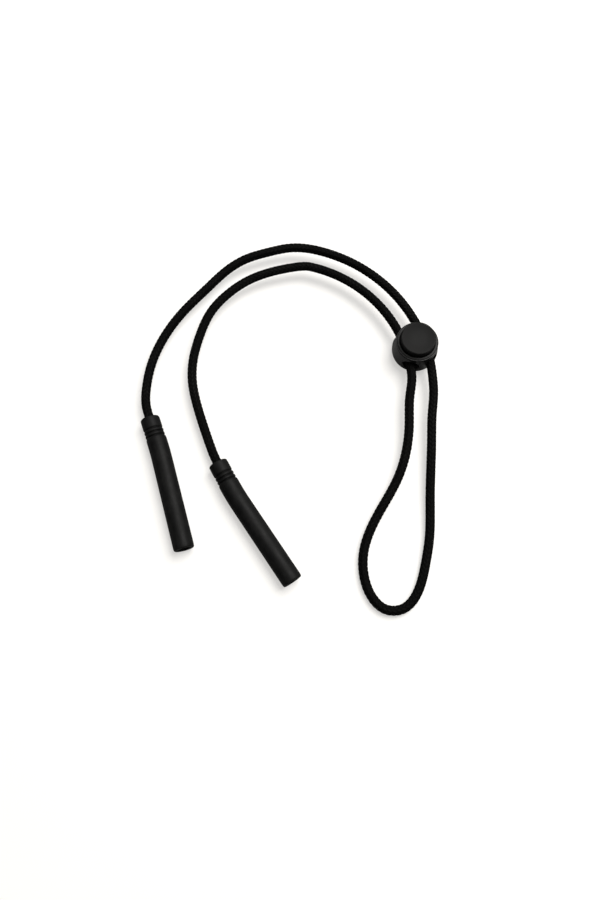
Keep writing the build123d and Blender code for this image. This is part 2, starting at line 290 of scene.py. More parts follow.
def new_mesh(name, verts, faces):
    """Mesh object from vertices in millimetres and a list of index arrays, (count, corners)."""
    mesh = bpy.data.meshes.new(name)
    mesh.vertices.add(len(verts))
    mesh.vertices.foreach_set("co", (verts * MM).astype(np.float32).ravel())
    loops = np.concatenate([group.ravel() for group in faces]).astype(np.int32)
    sizes = np.concatenate([np.full(len(group), group.shape[1]) for group in faces])
    starts = np.concatenate(([0], np.cumsum(sizes)[:-1])).astype(np.int32)
    mesh.loops.add(len(loops))
    mesh.loops.foreach_set("vertex_index", loops)
    mesh.polygons.add(len(sizes))
    mesh.polygons.foreach_set("loop_start", starts)
    mesh.update(calc_edges=True)
    mesh.polygons.foreach_set("use_smooth", np.ones(len(sizes), bool))
    if mesh.validate():
        raise RuntimeError(f"{name} has bad faces")
    obj = bpy.data.objects.new(name, mesh)
    bpy.context.scene.collection.objects.link(obj)
    return obj


def set_attribute(obj, name, kind, domain, values):
    attribute = obj.data.attributes.new(name, kind, domain)
    field = "vector" if kind == "FLOAT_VECTOR" else "value"
    attribute.data.foreach_set(field, np.asarray(values, np.float32).ravel())


def set_uv(obj, uv):
    layer = obj.data.uv_layers.new(name="OFBake")
    layer.data.foreach_set("uv", np.asarray(uv, np.float32).ravel())


def sharpen(obj, degrees):
    """Edges between faces that meet at more than this angle are drawn sharp."""
    obj.data.set_sharp_from_angle(angle=math.radians(degrees))


# ------------------------------------------------------------------ braid
# The braid's vertices lie on a lattice of rows round the cord, every other row shifted by half a
# step. Yarns of family A wind one way along the lattice's diagonals and those of family B the
# other; a cell is where two of them cross.
YARN_STEPS = 6          # lattice steps across one yarn
YARNS = 8               # yarns in each family: a sixteen-carrier braid
AROUND = YARNS * YARN_STEPS
CREST_R, GROOVE_R, LINING_R = 1.59, 1.41, 1.02
GRIPPED_R = CORD_R      # crowns pressed down inside the ferrules
YARN_MEAN_R = 1.52
YARN_ANGLE = 39.0       # between a yarn and the cord's axis
LINING_STEP = 1.3

HALF_STEP = TAU * YARN_MEAN_R / AROUND / 2
ROWS = 2 * int(round(CORD_LEN / (HALF_STEP / math.tan(math.radians(YARN_ANGLE))) / 2))
ROW_LEN = CORD_LEN / ROWS
YARN_STEP_LEN = math.hypot(ROW_LEN, HALF_STEP)      # one lattice step along a yarn


def crown(cell_a, cell_b, part_a, part_b):
    """The yarn on top in a cell: its height from 0 to 1, the place across it and along the float
    (the two cells it stays on top), whether it is of family A, and the float's variation."""
    phase = np.mod(cell_a + cell_b, 4)
    over = phase < 2
    across = np.where(over, part_a, part_b)
    along = np.where(over, (phase + part_b) / 2, (phase - 2 + part_a) / 2)
    float_number = np.where(over, cell_a - (cell_b - phase), (cell_a - (phase - 2)) - cell_b)
    yarn = np.where(over, np.mod(cell_a, YARNS), 100 + np.mod(cell_b, YARNS))
    variation = hashed(yarn, float_number)
    section = np.sqrt(np.clip(1 - (2 * across - 1) ** 2, 0, 1)) ** 0.85
    dive = 1 - np.abs(2 * along - 1) ** (2.4 + 1.2 * variation)
    return section * dive * (0.88 + 0.12 * variation), across, along, over, variation


def crown_at(at_a, at_b):
    """Height at lattice points, the highest of the cells that meet there."""
    cell_a, cell_b = np.floor_divide(at_a, YARN_STEPS), np.floor_divide(at_b, YARN_STEPS)
    best = np.zeros(np.broadcast(at_a, at_b).shape)
    for back_a in (0, 1):
        for back_b in (0, 1):
            touches = (((np.mod(at_a, YARN_STEPS) == 0) | (back_a == 0))
                       & ((np.mod(at_b, YARN_STEPS) == 0) | (back_b == 0)))
            height = crown(cell_a - back_a, cell_b - back_b,
                           (at_a - YARN_STEPS * (cell_a - back_a)) / YARN_STEPS,
                           (at_b - YARN_STEPS * (cell_b - back_b)) / YARN_STEPS)[0]
            best = np.where(touches, np.maximum(best, height), best)
    return best


def vertex(ring, i):
    return ring * AROUND + np.mod(i, AROUND)


def braid_faces(rows, turn):
    """Three groups of faces: the lattice's diamonds and the half cells that square off the two
    ends. Each has vertex numbers, steps round the cord and lattice rows of its corners."""
    count = len(rows)
    ring = np.arange(count - 2)[:, None]
    i = np.arange(AROUND)
    shift = np.mod(rows[:-2], 2)[:, None]
    at_turn = turn[:-2]
    at_row = np.broadcast_to(rows[:-2, None], at_turn.shape)
    diamonds = (table(vertex(ring, i), vertex(ring + 1, i + shift),
                      vertex(ring + 2, i), vertex(ring + 1, i - 1 + shift)),
                table(at_turn, at_turn + 0.5, at_turn, at_turn - 0.5),
                table(at_row, at_row + 1, at_row + 2, at_row + 1))
    shift = int(rows[1]) % 2
    at_turn = i + 0.5 * shift
    start = (table(vertex(0, i - 1 + shift), vertex(0, i + shift), vertex(1, i)),
             table(at_turn - 0.5, at_turn + 0.5, at_turn),
             np.tile(rows[[0, 0, 1]], (AROUND, 1)))
    shift = int(rows[-2]) % 2
    at_turn = i + 0.5 * shift
    stop = (table(vertex(count - 2, i), vertex(count - 1, i + shift),
                  vertex(count - 1, i - 1 + shift)),
            table(at_turn, at_turn + 0.5, at_turn - 0.5),
            np.tile(rows[[-2, -1, -1]], (AROUND, 1)))
    return diamonds, start, stop


def yarn_coordinates(turn, row):
    """Per corner: (across the yarn, millimetres along it, which yarn), and (place along the
    float, family, variation)."""
    at_a, at_b = turn + row / 2, turn - row / 2
    middles = [at.mean(1, keepdims=True) for at in (at_a, at_b)]
    if turn.shape[1] == 3:      # a half cell's middle is still inside its cell
        middles = [np.floor(at.min(1, keepdims=True) + 1e-6) + 0.5 for at in (at_a, at_b)]
    cell_a, cell_b = (np.floor_divide(middle, YARN_STEPS) for middle in middles)
    _, across, along, over, variation = crown(
        cell_a, cell_b, (at_a - YARN_STEPS * cell_a) / YARN_STEPS,
        (at_b - YARN_STEPS * cell_b) / YARN_STEPS)
    run = np.where(over, -at_b, at_a) * YARN_STEP_LEN
    yarn = np.where(over, np.mod(cell_a, YARNS), YARNS + np.mod(cell_b, YARNS))
    return table(across, run, yarn), table(along, over, variation)


def strip_uv(turn, share, strips):
    """The tube unrolled and folded into strips side by side; share runs along the tube."""
    v = share * strips
    strip = np.clip(np.floor(v.mean(1, keepdims=True)), 0, strips - 1)
    u = (turn + 1.0) / (AROUND + 2.0)
    wraps = turn.mean(1, keepdims=True) >= AROUND
    u = np.where(wraps, u - AROUND / (AROUND + 2.0), u)
    return table((strip + 0.02 + 0.96 * u) / strips * 0.955, 0.012 + 0.976 * (v - strip))


def lining_uv(lining_rows, last):
    """A narrow column beside the strips for the lining, and one small patch for the end faces."""
    low, high = lining_rows[:-1][:, None] / last, lining_rows[1:][:, None] / last
    u = 0.965 + 0.025 * np.arange(AROUND) / AROUND
    after = u + 0.025 / AROUND
    patch = np.array([[0.993, 0.2], [0.993, 0.21], [0.996, 0.21], [0.996, 0.2]])
    lining = table(u, low, u, high, after, high, after, low).reshape(-1, 2)
    return [lining, np.tile(patch, (2 * AROUND, 1))]


def harden_ends(obj, rings):
    """The cut ends sit inside the next piece, so their rims don't soften the braid's shading."""
    mesh = obj.data
    soft = np.ones(len(mesh.polygons), bool)
    soft[-2 * AROUND:] = False
    mesh.polygons.foreach_set("use_smooth", soft)
    edges = np.zeros(len(mesh.edges) * 2, np.int32)
    mesh.edges.foreach_get("vertices", edges)
    on_rim = np.zeros(len(mesh.vertices), bool)
    on_rim[:AROUND] = True
    on_rim[(rings - 1) * AROUND:rings * AROUND] = True
    sharp = mesh.attributes.new("sharp_edge", "BOOLEAN", "EDGE")
    sharp.data.foreach_set("value", on_rim[edges.reshape(-1, 2)].all(1))


def braid(name, first_row, last_row):
    """Closed braided sheath between two lattice rows, with its yarn coordinates."""
    rows = np.arange(first_row, last_row + 1)
    rings = len(rows)
    centre, left, up = on_path(rows * ROW_LEN)
    turn = np.arange(AROUND)[None, :] + 0.5 * np.mod(rows, 2)[:, None]
    height = crown_at(np.round(turn + rows[:, None] / 2).astype(int),
                      np.round(turn - rows[:, None] / 2).astype(int))
    inside = np.maximum(TAIL_LEN - rows * ROW_LEN, rows * ROW_LEN - (CORD_LEN - TAIL_LEN))[:, None]
    crest = CREST_R + (GRIPPED_R - CREST_R) * smooth((inside - 0.4) / 2.0)
    outer = ring_points(centre, left, up, turn * TAU / AROUND,
                        GROOVE_R + (crest - GROOVE_R) * height)

    # lining and end faces
    lining_count = max(2, int(round((rings - 1) * ROW_LEN / LINING_STEP)) + 1)
    picked = np.linspace(0, rings - 1, lining_count).round().astype(int)
    i = np.arange(AROUND)
    lining = ring_points(centre[picked], left[picked], up[picked], i * TAU / AROUND, LINING_R)
    base = rings * AROUND
    first, last = 0, rings - 1
    closing = [
        tube_quads(lining_count, AROUND, base),
        table(vertex(first, i), base + vertex(0, i),
              base + vertex(0, i + 1), vertex(first, i + 1)),
        table(vertex(last, i), vertex(last, i + 1),
              base + vertex(lining_count - 1, i + 1), base + vertex(lining_count - 1, i)),
    ]
    groups = braid_faces(rows, turn)
    verts = np.concatenate([outer.reshape(-1, 3), lining.reshape(-1, 3)])
    obj = new_mesh(name, verts, [group[0] for group in groups] + closing)

    yarns, floats = zip(*(yarn_coordinates(*group[1:]) for group in groups))
    rest = sum(len(faces) for faces in closing) * 4
    yarns += (np.tile((0.5, 0.0, 0.0), (rest, 1)),)
    floats += (np.tile((0.5, 0.0, 0.5), (rest, 1)),)
    set_attribute(obj, "yarn", "FLOAT_VECTOR", "CORNER", np.concatenate(yarns))
    set_attribute(obj, "float_place", "FLOAT_VECTOR", "CORNER", np.concatenate(floats))
    cavity = np.concatenate([height.ravel(), np.zeros(lining_count * AROUND)])
    set_attribute(obj, "cavity", "FLOAT", "POINT", cavity)

    length = last_row - first_row
    strips = max(1, int(round(math.sqrt(length * ROW_LEN / (TAU * CORD_R)))))
    uv = [strip_uv(at_turn, (at_row - first_row) / length, strips)
          for _, at_turn, at_row in groups]
    set_uv(obj, np.concatenate(uv + lining_uv(picked, last)))
    harden_ends(obj, rings)
    return obj


def core_cord(name, start, end):
    """The filling cord inside the sheath: three twisted plies."""
    around, step = 24, 0.45
    radius, plies, lay = 0.965, 3, 7.5      # lay: cord length for one turn of the plies
    rings = max(3, int(round((end - start) / step)) + 1)
    lengths = np.linspace(start, end, rings)
    centre, left, up = on_path(lengths)
    angle = np.arange(around) * TAU / around
    phase = plies * (angle[None, :] - lengths[:, None] * TAU / lay)
    lobed = radius * (0.80 + 0.20 * np.abs(np.cos(phase / 2)) ** 0.7)
    surface = ring_points(centre, left, up, angle, lobed).reshape(-1, 3)
    verts = np.concatenate([surface, centre[:1], centre[-1:]])
    obj = new_mesh(name, verts, [turned_over(faces) for faces in closed_tube(rings, around)])
    sharpen(obj, 60)
    return obj


# ------------------------------------------------------------------ sleeves
def sleeve_axis(side, along):
    """Centre and heading of the sleeve's axis at lengths from the collar's end."""
    start = math.radians(side.bearing)
    curve = math.radians(side.turn) / BEND_LEN
    bend = np.clip(along - COLLAR_LEN, 0, BEND_LEN)
    heading = start + bend * curve
    centre = np.array(side.neck) + np.minimum(along, COLLAR_LEN)[:, None] * unit(side.bearing)
    centre = centre + np.column_stack(((np.sin(heading) - math.sin(start)) / curve,
                                       (math.cos(start) - np.cos(heading)) / curve))
    beyond = np.maximum(along - COLLAR_LEN - BEND_LEN, 0)
    return centre + beyond[:, None] * unit(side.bearing + side.turn), heading


def rounded(points, steps=5):
    """Polyline with its corners rounded; points are (length, radius, size of the rounding)."""
    out = []
    for i, (along, radius, rounding) in enumerate(points):
        if rounding <= 0 or i in (0, len(points) - 1):
            out.append((along, radius))
            continue
        corner = np.array((along, radius))
        back = np.array(points[i - 1][:2]) - corner
        ahead = np.array(points[i + 1][:2]) - corner
        back_len, ahead_len = np.linalg.norm(back), np.linalg.norm(ahead)
        cut = min(rounding, back_len * 0.49, ahead_len * 0.49)
        start, end = corner + back / back_len * cut, corner + ahead / ahead_len * cut
        for part in np.linspace(0, 1, steps):
            out.append(tuple((1 - part) ** 2 * start + 2 * part * (1 - part) * corner
                             + part**2 * end))
    return np.array(out)


def sleeve_profile():
    """(length along the axis, radius) from the web inside, out through the cord hole, over the
    outside and back down the temple bore."""
    collar, sleeve_end, bore = COLLAR_R, SLEEVE_LEN, TEMPLE_BORE_R
    bore_end = sleeve_end - TEMPLE_BORE_LEN
    # length, radius, size of the corner's rounding
    points = [
        # cord hole, with the wider ferrule seat deep inside
        (6.75, 0.0, 0), (6.75, 1.90, 0.1), (2.5, 1.90, 0.15), (2.42, 1.61, 0.08),
        (0.38, 1.61, 0.3), (0.0, 1.90, 0.22),
        # plain part of the collar
        (0.0, collar - 0.08, 0.80), (0.85, collar - 0.01, 0.5), (3.75, collar, 0.20),
        # three grooves and the rings between them
        (4.06, collar - 0.17, 0.10), (4.22, collar - 0.36, 0.10), (4.42, collar - 0.35, 0.08),
        (4.60, collar - 0.10, 0.14), (4.98, collar + 0.03, 0.26), (5.38, collar - 0.08, 0.14),
        (5.56, collar - 0.36, 0.10), (5.76, collar - 0.36, 0.08), (5.94, collar - 0.08, 0.14),
        (6.32, collar + 0.04, 0.26), (6.70, collar - 0.07, 0.14), (6.88, collar - 0.34, 0.10),
        (7.08, collar - 0.33, 0.08), (7.28, collar - 0.02, 0.16),
        # shoulder
        (7.66, SLEEVE_R - 0.03, 0.30), (8.6, SLEEVE_R, 0.8),
    ]
    points += [(along, SLEEVE_R - 0.005, 0) for along in np.arange(9.0, sleeve_end - 1.2, 0.5)]
    # mouth
    points += [(sleeve_end - 0.9, SLEEVE_R - 0.01, 0.5), (sleeve_end - 0.02, SLEEVE_R - 0.12, 0.55),
               (sleeve_end, bore + 0.34, 0.3), (sleeve_end - 0.34, bore + 0.02, 0.25)]
    points += [(along, bore, 0) for along in np.arange(sleeve_end - 2, bore_end + 1.2, -2.0)]
    points += [(bore_end, bore, 0.5), (bore_end, 0.0, 0)]
    return rounded(points)


def outside_share(profile):
    """1 for profile points on the sleeve's outside, 0 for those in the two bores."""
    along, radius = profile.T
    first = int(np.argmax((radius > 2.2) & (along < 1.0)))
    last = int(np.argmax(along >= SLEEVE_LEN - 1e-6))
    outside = np.zeros(len(profile))
    outside[first:last + 2] = 1.0
    return outside


def sleeve_relief(along, angle, seed):
    """How far the moulded outside strays from its profile: a slight swell on the barrel, and a
    parting line down each side."""
    along, angle = along[:, None], angle[None, :]
    barrel = smooth((along - 7.8) / 1.5) * (1 - smooth((along - SLEEVE_LEN + 1.4) / 1.2))
    swell = (0.028 * np.sin(0.21 * along + 1.3 * seed + 0.8 * np.sin(angle))
             + 0.016 * np.sin(0.57 * along + 2.1 * seed + 2 * angle)
             + 0.009 * np.sin(1.31 * along - 3 * angle + seed))
    parting = 0.0
    for line in (0.0, math.pi):
        away = np.arctan2(np.sin(angle - line), np.cos(angle - line))
        ridge, hollow = np.exp(-(away / 0.028) ** 2), np.exp(-(away / 0.11) ** 2)
        parting = parting + 0.035 * ridge - 0.012 * hollow
    return swell * barrel - 0.020 * barrel + parting * (0.35 + 0.65 * barrel)


def sleeve_uv(run, angle):
    """The profile's surface unrolled into two strips, with the end fans as discs above them."""
    rings, around, strips = len(run), len(angle), 2
    share = (run - run[0]) / (run[-1] - run[0])
    ring, i = np.arange(rings - 1)[:, None], np.arange(around)
    shape = (rings - 1, around)
    corners = [np.stack((np.broadcast_to((i + turn_step) / around, shape),
                         np.broadcast_to(share[ring + ring_step], shape)), -1)
               for turn_step, ring_step in ((1, 0), (1, 1), (0, 1), (0, 0))]
    flat = np.stack(corners, 2)
    strip = np.clip(np.floor(flat[..., 1].mean(2, keepdims=True) * strips), 0, strips - 1)
    parts = [table((strip + 0.02 + 0.96 * flat[..., 0]) / strips,
                   0.02 + 0.90 * (flat[..., 1] * strips - strip))]
    for middle in ((0.25, 0.965), (0.75, 0.965)):
        disc = np.array(middle) + 0.028 * np.column_stack((np.cos(angle), np.sin(angle)))
        hub = np.tile(middle, (around, 1))
        parts.append(np.stack([np.roll(disc, -1, axis=0), disc, hub], 1).reshape(-1, 2))
    return np.concatenate(parts)


def sleeve(name, side):
    around = 120
    profile = sleeve_profile()
    outside = outside_share(profile)[1:-1]
    along, radius = profile[1:-1].T
    ends = profile[[0, -1], 0]              # the profile's two ends lie on the axis
    centre, heading = sleeve_axis(side, along)
    angle = np.arange(around) * TAU / around
    reach = radius[:, None] + outside[:, None] * sleeve_relief(along, angle, side.seed)
    across = np.column_stack((-np.sin(heading), np.cos(heading)))
    plan = centre[:, None, :] + (reach * np.cos(angle))[..., None] * across[:, None, :]
    height = np.maximum(SLEEVE_Z + reach * np.sin(angle), 0.0)     # nothing goes below the table
    surface = np.concatenate([plan, height[..., None]], -1).reshape(-1, 3)
    verts = np.concatenate([surface, level(sleeve_axis(side, ends)[0], SLEEVE_Z)])
    obj = new_mesh(name, verts, closed_tube(len(along), around))
    obj.data.flip_normals()                 # the rings are wound facing inwards
    sharpen(obj, 55)
    set_uv(obj, sleeve_uv(lengths_along(profile)[1:-1], angle))
    set_attribute(obj, "tube", "FLOAT_VECTOR", "POINT", np.column_stack((
        np.concatenate([np.repeat(along, around), ends]),
        np.concatenate([np.tile(angle, len(along)), [0, 0]]),
        np.concatenate([np.repeat(outside, around), [0, 0]]))))
    return obj


# ------------------------------------------------------------------ shader nodes
class Nodes:
    """Short ways to add and join the nodes of a tree. Texture places are in millimetres."""

    def __init__(self, node_tree):
        self.tree = node_tree

    def node(self, kind, **settings):
        node = self.tree.nodes.new(kind)
        for name, value in settings.items():
            setattr(node, name, value)
        return node

    def put(self, socket, value):
        if isinstance(value, bpy.types.NodeSocket):
            self.tree.links.new(value, socket)
        else:
            socket.default_value = value

    def math(self, operation, first, second=0.0, third=0.0, clamp=False):
        node = self.node("ShaderNodeMath", operation=operation, use_clamp=clamp)
        for socket, value in zip(node.inputs, (first, second, third)):
            self.put(socket, value)
        return node.outputs[0]

    def add(self, first, second):
        return self.math("ADD", first, second)

    def multiply(self, first, second):
        return self.math("MULTIPLY", first, second)

    def linear(self, value, factor, offset):
        return self.add(self.multiply(value, factor), offset)

    def clamped(self, value):
        return self.math("ADD", value, 0.0, clamp=True)

    def attribute(self, name, output):
        return self.node("ShaderNodeAttribute", attribute_name=name).outputs[output]

    def split(self, vector):
        node = self.node("ShaderNodeSeparateXYZ")
        self.put(node.inputs[0], vector)
        return node.outputs

    def join(self, x, y, z):
        node = self.node("ShaderNodeCombineXYZ")
        for socket, value in zip(node.inputs, (x, y, z)):
            self.put(socket, value)
        return node.outputs[0]

    def stretched(self, values, factors):
        return self.join(*(self.multiply(*pair) for pair in zip(values, factors)))

    def scaled(self, vector, factors):
        node = self.node("ShaderNodeVectorMath", operation="MULTIPLY")
        self.put(node.inputs[0], vector)
        node.inputs[1].default_value = factors
        return node.outputs[0]

    def place(self):
        """Where a point is on the resting object, in millimetres."""
        node = self.node("ShaderNodeVectorMath", operation="SCALE")
        self.put(node.inputs[0], self.node("ShaderNodeTexCoord").outputs["Object"])
        node.inputs["Scale"].default_value = 1000.0
        return node.outputs[0]

    def noise(self, vector, scale, detail=2.0, roughness=0.5):
        node = self.node("ShaderNodeTexNoise")
        self.put(node.inputs["Vector"], vector)
        node.inputs["Scale"].default_value = scale
        node.inputs["Detail"].default_value = detail
        node.inputs["Roughness"].default_value = roughness
        return node.outputs["Fac"]

    def voronoi(self, vector, scale, feature="F1"):
        node = self.node("ShaderNodeTexVoronoi", feature=feature)
        self.put(node.inputs["Vector"], vector)
        node.inputs["Scale"].default_value = scale
        return node.outputs["Distance"]

    def ramp(self, value, *stops):
        """Colour by value, from stops of (value, colour)."""
        node = self.node("ShaderNodeValToRGB")
        self.put(node.inputs[0], value)
        elements = node.color_ramp.elements
        while len(elements) < len(stops):
            elements.new(0.5)
        for element, (position, colour) in zip(elements, stops):
            element.position = position
            element.color = (*colour, 1.0)
        return node.outputs["Color"]

    def ease(self, value, span, result=(0.0, 1.0), kind="SMOOTHSTEP"):
        """From the first result to the second while value goes across span."""
        node = self.node("ShaderNodeMapRange", interpolation_type=kind, clamp=True)
        self.put(node.inputs[0], value)
        for socket, limit in zip(node.inputs[1:5], (*span, *result)):
            self.put(socket, limit)
        return node.outputs[0]

    def band(self, value, centre, half, soft):
        """1 within half of centre, fading over soft."""
        away = self.math("ABSOLUTE", self.math("SUBTRACT", value, centre))
        return self.ease(away, span=(half, half + soft), result=(1.0, 0.0))

    def patches(self, where, scale, detail, span, roughness=0.5, result=(0.0, 1.0)):
        """Soft-edged patches of noise."""
        return self.ease(self.noise(where, scale, detail, roughness), span, result)

    def specks(self, where, scale, size, patch_scale, detail, span, peak):
        """Small dots, only inside patches of noise."""
        dots = self.ease(self.voronoi(where, scale), span=(0.0, size), result=(1.0, 0.0))
        return self.multiply(dots, self.patches(where, patch_scale, detail, span,
                                                result=(0.0, peak)))

    def mix(self, base, colour, amount, blend="MIX"):
        node = self.node("ShaderNodeMix", data_type="RGBA", blend_type=blend)
        self.put(node.inputs["Factor"], amount)
        # sockets 6 and 7 are the colour pair, output 2 the mixed colour
        for socket, value in zip(node.inputs[6:8], (base, colour)):
            is_socket = isinstance(value, bpy.types.NodeSocket)
            self.put(socket, value if is_socket else (*value, 1.0))
        return node.outputs[2]

    def bump(self, height, strength, distance, under=None):
        """Normal from a height; distance is in metres, under is the normal it adds to."""
        node = self.node("ShaderNodeBump")
        node.inputs["Strength"].default_value = strength
        node.inputs["Distance"].default_value = distance
        self.put(node.inputs["Height"], height)
        if under is not None:
            self.put(node.inputs["Normal"], under)
        return node.outputs[0]


def make_material(name, look):
    """Material whose principled inputs are what look(nodes, where) returns."""
    mat = bpy.data.materials.new(name)
    mat.use_nodes = True
    mat.node_tree.nodes.clear()
    nodes = Nodes(mat.node_tree)
    output = nodes.node("ShaderNodeOutputMaterial")
    surface = nodes.node("ShaderNodeBsdfPrincipled")
    nodes.put(output.inputs[0], surface.outputs[0])
    for socket, value in look(nodes, nodes.place()).items():
        nodes.put(surface.inputs[socket], value)
    return mat


def from_axis(nodes, where):
    """x, y, height and distance from the lock's axis."""
    x, y, z = nodes.split(where)
    squares = nodes.add(nodes.multiply(x, x), nodes.multiply(y, y))
    return x, y, z, nodes.math("SQRT", squares)


# ------------------------------------------------------------------ looks
def braid_look(nodes, where):
    across, along, yarn = nodes.split(nodes.attribute("yarn", "Vector"))
    cavity = nodes.attribute("cavity", "Fac")
    yarn_place = (across, along, yarn)
    # twisted filaments: fine lines that run along each yarn, a little off its line
    twist = nodes.add(across, nodes.multiply(along, 0.16))
    wander = nodes.noise(nodes.stretched(yarn_place, factors=(2.0, 0.9, 3.7)), scale=1.0)
    filaments_across, wander_depth = 9.0, 1.6
    line_place = nodes.add(nodes.multiply(twist, filaments_across),
                           nodes.multiply(wander, wander_depth))
    wave = nodes.math("SINE", nodes.multiply(line_place, TAU))
    lines = nodes.math("MULTIPLY_ADD", wave, 0.5, 0.5)      # from 0 to 1
    fibre = nodes.noise(nodes.stretched(yarn_place, factors=(26.0, 1.1, 5.3)),
                        scale=1.0, detail=3.0, roughness=0.6)
    line_share, fibre_share = 0.5, 0.6
    strand = nodes.add(nodes.multiply(lines, line_share), nodes.multiply(fibre, fibre_share))
    # black dyed yarn, each yarn slightly its own shade; the crowns paler, partly rubbed wear and
    # partly a painted highlight
    shade = nodes.noise(nodes.join(yarn, nodes.multiply(along, 0.05), 0.0), scale=3.1, detail=0.0)
    crown_wear_and_highlight = nodes.multiply(
        nodes.ease(cavity, span=(0.55, 1.0)),
        nodes.patches(where, scale=0.11, detail=3.0, roughness=0.6, span=(0.42, 0.72)))
    base = nodes.ramp(strand, (0.18, (0.0006, 0.0006, 0.0006)), (0.55, (0.0017, 0.0017, 0.0016)),
                      (0.95, (0.0052, 0.0050, 0.0047)))
    base = nodes.mix(base, (0.0013, 0.0013, 0.0014),
                     amount=nodes.ease(shade, span=(0.3, 0.7), result=(0.0, 0.55)))
    # painted highlight together with wear: the crowns of the yarns lightened
    base = nodes.mix(base, (0.010, 0.0097, 0.0090), amount=nodes.multiply(crown_wear_and_highlight, 0.5))
    # painted shade: darker between the crowns, where the braid's grooves fall into shadow
    crevice_shade = nodes.ease(cavity, span=(0.0, 0.42), result=(0.30, 1.0))
    base = nodes.mix(base, nodes.join(crevice_shade, crevice_shade, crevice_shade), amount=1.0, blend="MULTIPLY")
    # lint caught in the braid
    lint = nodes.specks(where, scale=1.9, size=0.045,
                        patch_scale=0.35, detail=1.0, span=(0.56, 0.66), peak=0.30)
    base = nodes.mix(base, (0.16, 0.155, 0.15), amount=lint)
    rough = nodes.linear(fibre, factor=0.22, offset=0.52)
    rough = nodes.math("SUBTRACT", rough, nodes.multiply(crown_wear_and_highlight, 0.10))
    line_bump = nodes.bump(lines, strength=0.55, distance=0.000030)
    return {
        "Base Color": base,
        "Roughness": nodes.clamped(rough),
        "Specular IOR Level": 0.034,
        "Sheen Weight": 0.003,
        "Sheen Roughness": 0.45,
        "Sheen Tint": (0.75, 0.77, 0.80, 1.0),
        "Normal": nodes.bump(fibre, strength=0.45, distance=0.000030, under=line_bump),
    }


def core_look(nodes, where):
    fibre = nodes.noise(nodes.scaled(where, factors=(1.0, 1.0, 4.0)),
                        scale=3.4, detail=3.0, roughness=0.65)
    return {
        "Base Color": nodes.ramp(fibre, (0.25, (0.30, 0.29, 0.265)), (0.75, (0.56, 0.545, 0.50))),
        "Roughness": 0.82,
        "Sheen Weight": 0.25,
    }


def rubber_look(nodes, where):
    along, turn, outside = nodes.split(nodes.attribute("tube", "Vector"))
    grain = nodes.noise(where, scale=7.5, detail=4.0, roughness=0.62)
    mottle = nodes.noise(where, scale=0.42, detail=3.0, roughness=0.55)
    flow_place = nodes.join(nodes.multiply(along, 0.10),
                            nodes.math("SINE", turn), nodes.math("COSINE", turn))
    flow = nodes.noise(flow_place, scale=2.3, detail=3.0, roughness=0.6)
    base = nodes.ramp(mottle, (0.30, (0.0036, 0.0036, 0.0037)), (0.55, (0.0050, 0.0050, 0.0049)),
                      (0.78, (0.0076, 0.0075, 0.0073)))
    base = nodes.mix(base, (0.0125, 0.0123, 0.0118),
                     amount=nodes.ease(flow, span=(0.45, 0.75), result=(0.0, 0.35)))
    # painted shade: the three grooves of the collar are darkened as if in shadow
    first, second, third = (nodes.band(along, centre=place, half=0.12, soft=0.22)
                            for place in COLLAR_GROOVES)
    groove_shade = nodes.math("MAXIMUM", nodes.math("MAXIMUM", first, second), third)
    base = nodes.mix(base, (0.0008, 0.0008, 0.0008), amount=nodes.multiply(groove_shade, 0.85))
    # pale dust that silicone picks up
    dust = nodes.specks(where, scale=1.35, size=0.055,
                        patch_scale=0.3, detail=2.0, span=(0.52, 0.64), peak=0.34)
    base = nodes.mix(base, (0.145, 0.14, 0.13), amount=dust)
    # rubbed edges at the mouth and the shoulder
    mouth = nodes.ease(along, span=(SLEEVE_LEN - 0.55, SLEEVE_LEN - 0.05))
    shoulder = nodes.multiply(nodes.ease(along, span=(7.1, 7.5)),
                              nodes.ease(along, span=(7.5, 8.2), result=(1.0, 0.0)))
    edge = nodes.multiply(
        nodes.math("MAXIMUM", mouth, shoulder),
        nodes.patches(where, scale=1.7, detail=2.0, span=(0.40, 0.68), result=(0.0, 0.5)))
    base = nodes.mix(base, (0.020, 0.0195, 0.0185), amount=nodes.multiply(edge, outside))
    rough = nodes.linear(grain, factor=0.14, offset=0.47)
    uneven = nodes.ease(mottle, span=(0.35, 0.7), result=(-0.5, 0.5))
    rough = nodes.add(rough, nodes.multiply(uneven, 0.10))
    scuff_place = nodes.join(nodes.multiply(along, 0.35), nodes.multiply(turn, 3.0), 0.0)
    scuff = nodes.noise(scuff_place, scale=2.6, detail=3.0, roughness=0.7)
    grain_bump = nodes.bump(grain, strength=0.30, distance=0.000035)
    return {
        "Base Color": base,
        "Roughness": nodes.clamped(rough),
        "Specular IOR Level": 0.088,
        "Normal": nodes.bump(scuff, strength=0.10, distance=0.00006, under=grain_bump),
    }


